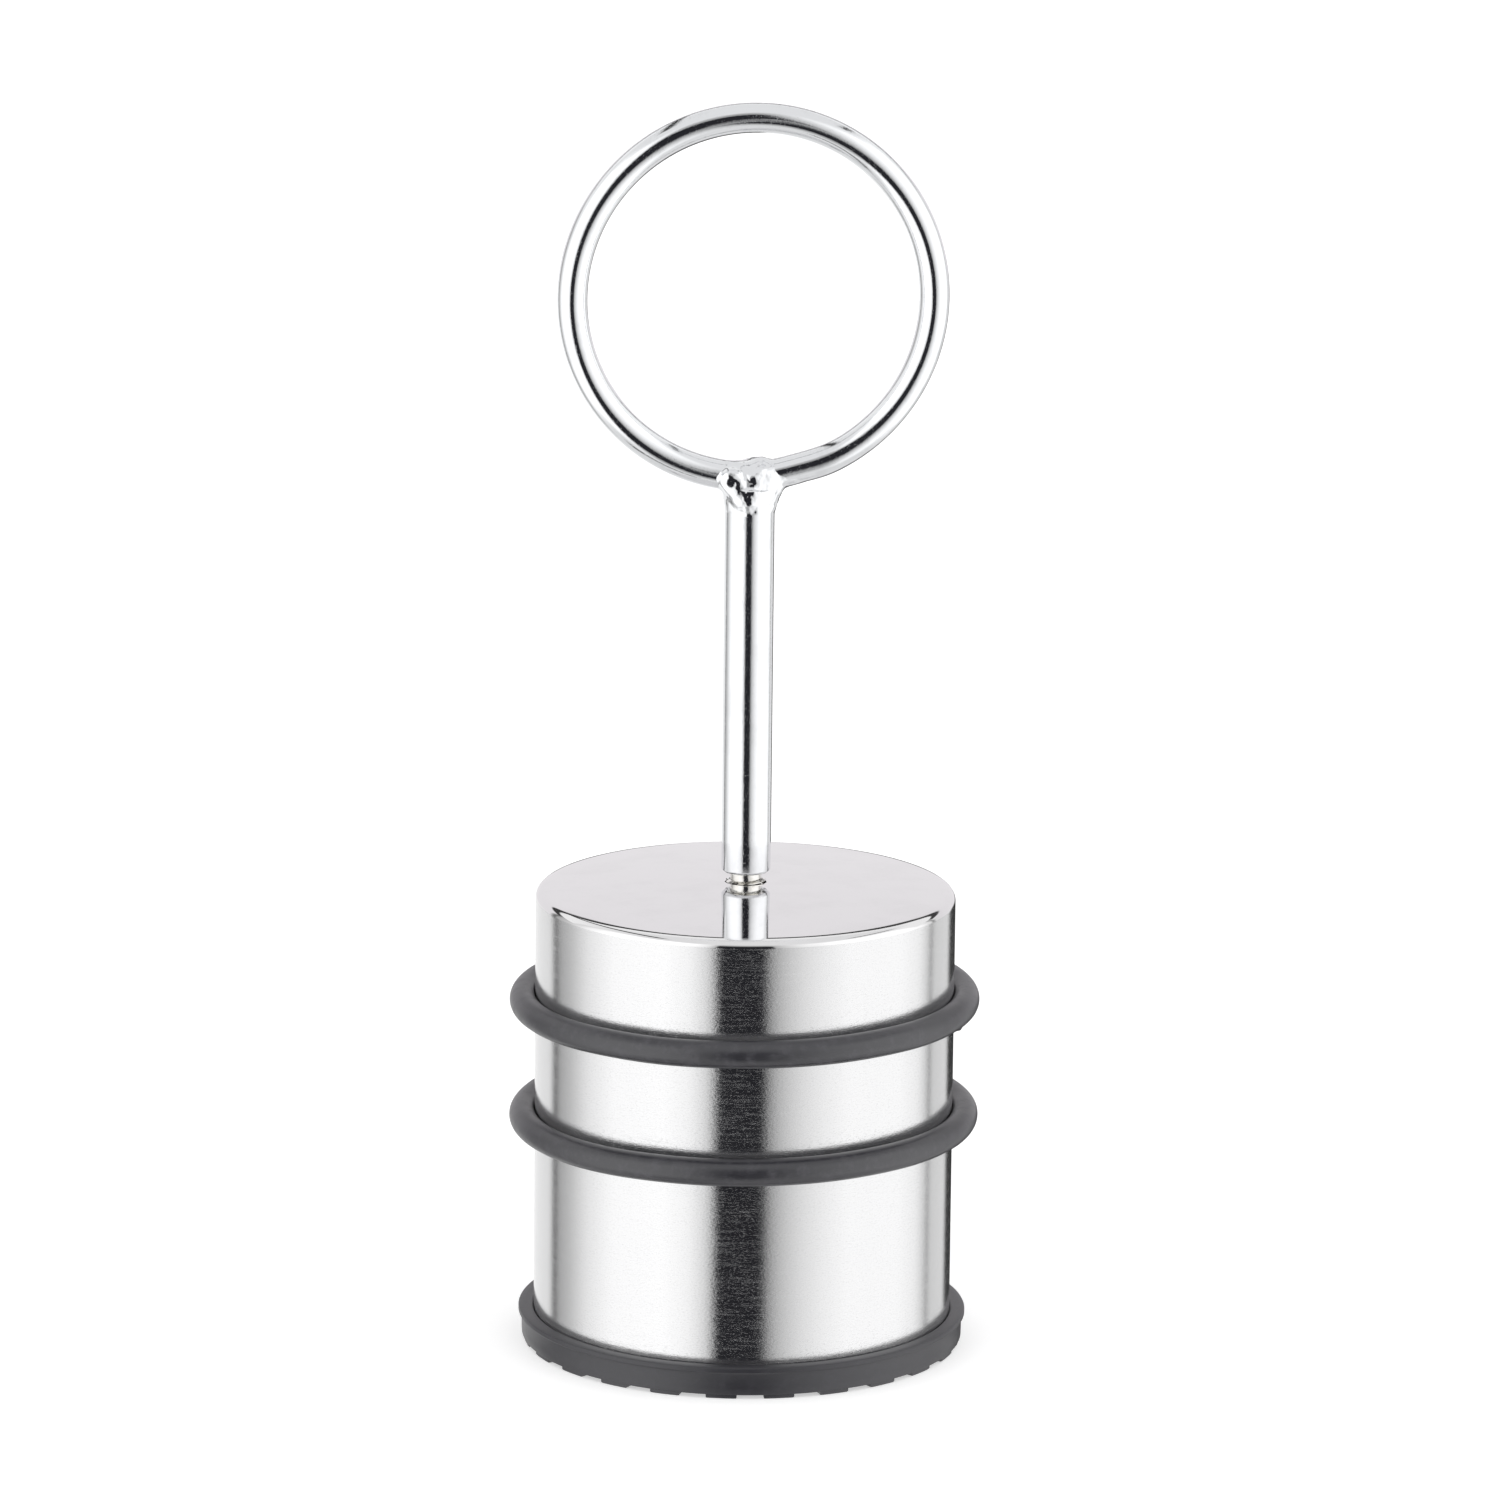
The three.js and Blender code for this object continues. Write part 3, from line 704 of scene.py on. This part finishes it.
world = bpy.data.worlds.new("studio")
bpy.context.scene.world = world
world.use_nodes = True
tree = world.node_tree
direction = add_node(tree, "ShaderNodeTexCoord").outputs["Generated"]
parts = add_node(tree, "ShaderNodeSeparateXYZ", {0: direction}).outputs
azimuth = calculate(tree, "ARCTAN2", parts[0], calculate(tree, "MULTIPLY", parts[1], -1.0))
elevation = calculate(tree, "ARCSINE", parts[2])
azimuth = calculate(tree, "MULTIPLY", azimuth, 180 / math.pi)
elevation = calculate(tree, "MULTIPLY", elevation, 180 / math.pi)


def window(value, low, high, soft):
    """1 between two limits and 0 outside them, with soft edges."""
    rise = remap(tree, value, low - soft, low + soft, 0.0, 1.0, smooth=True)
    fall = remap(tree, value, high - soft, high + soft, 1.0, 0.0, smooth=True)
    return calculate(tree, "MULTIPLY", rise, fall)


def panel(light, azimuths, elevations, colour, soft, mirrored=False):
    """The room with a panel of its own colour between two azimuths and two elevations."""
    turn = calculate(tree, "ABSOLUTE", azimuth) if mirrored else azimuth
    mask = calculate(tree, "MULTIPLY", window(turn, *azimuths, soft), window(elevation, *elevations, soft))
    return blend_colours(tree, mask, light, colour)


# Brightness of the walls by azimuth: 0 is the camera's side, 90 is right, 180 is behind the object.
walls = [
    (-180, 1.02), (-134, 0.96), (-129, 0.34), (-126, 0.14), (-123, 0.47), (-110, 0.7), (-95, 1.1),
    (-76, 1.38), (-45, 1.44), (-30, 1.3), (-21, 0.99), (-17, 0.68), (-15, 0.41), (13, 0.34), (18, 0.59),
    (24, 0.79), (33, 1.01), (45, 1.2), (60, 1.36), (95, 1.36), (112, 1.19), (118, 0.9), (121, 0.85),
    (122, 0.34), (124, 0.34), (126, 0.81), (148, 0.88), (153, 0.05), (180, 0.03),
]
ramp = tree.nodes.new("ShaderNodeValToRGB")
stops = ramp.color_ramp.elements
for place, (turn, bright) in enumerate(walls):
    stop = stops[place] if place < 2 else stops.new(1.0)
    stop.position = (turn + 180) / 360
    stop.color = (bright, bright, bright, 1)
tree.links.new(remap(tree, azimuth, -180, 180, 0.0, 1.0), ramp.inputs[0])
room = ramp.outputs[0]
dark_edge = (0.05, 0.05, 0.05)
dark_gap = (0.022, 0.022, 0.026)
# The backdrop is a flat sheet behind the object: its top edge is a dark line, with white above it.
turn_away = calculate(tree, "ABSOLUTE", azimuth)
rise_behind = calculate(tree, "DIVIDE", parts[2], parts[1])
above = window(turn_away, 108, 200, 3)
above_sheet = calculate(tree, "MULTIPLY", above, window(rise_behind, 0.68, 99, 0.02))
room = blend_colours(tree, above_sheet, room, (1.0, 1.0, 1.0))
overhead = remap(tree, elevation, 36, 52, 0.0, 1.0, smooth=True)
room = blend_colours(tree, overhead, room, (0.86, 0.86, 0.865))
below = remap(tree, elevation, -40, -56, 0.0, 1.0, smooth=True)
room = blend_colours(tree, below, room, (0.8, 0.8, 0.8))
behind = window(turn_away, 131, 200, 3)
sheet = calculate(tree, "MULTIPLY", behind, window(rise_behind, -0.14, 0.58, 0.06))
room = blend_colours(tree, sheet, room, (0.87, 0.85, 0.87))
behind = window(turn_away, 127, 200, 1)
sheet_top = calculate(tree, "MULTIPLY", behind, window(rise_behind, 0.5, 0.67, 0.02))
room = blend_colours(tree, sheet_top, room, dark_edge)
# Dark strips low in the backdrop, either side of its middle.
room = panel(room, (174.5, 179.2), (-14, 1), dark_edge, soft=0.8, mirrored=True)
# Black edges of the soft box overhead, which lie across the ceiling from front to back.
across_ceiling = calculate(tree, "DIVIDE", parts[0], parts[2])
along_ceiling = calculate(tree, "DIVIDE", parts[1], parts[2])
for left, right, back in ((-0.57, -0.45, 1.7), (0.72, 0.8, 0.6)):
    rail_width = window(across_ceiling, left, right, 0.02)
    rail = calculate(tree, "MULTIPLY", rail_width, window(along_ceiling, -0.1, back, 0.1))
    rail = calculate(tree, "MULTIPLY", rail, window(elevation, 10, 100, 2))
    room = blend_colours(tree, rail, room, (0.03, 0.03, 0.03))
# A dark line low at the left, then the gap round the camera. The gap's right edge stands further
# out above the horizon and far below it.
room = panel(room, (-75, -8), (-63, -59), dark_edge, soft=0.8)
gap_left = -15.1
for gap_right, gap_low, gap_high in ((11.9, -37, 31), (16, 0, 31), (16, -37, -23)):
    room = panel(room, (gap_left, gap_right), (gap_low, gap_high), dark_gap, soft=1.2)
background = tree.nodes["Background"]
tree.links.new(room, background.inputs["Color"])
background.inputs["Strength"].default_value = 1.0
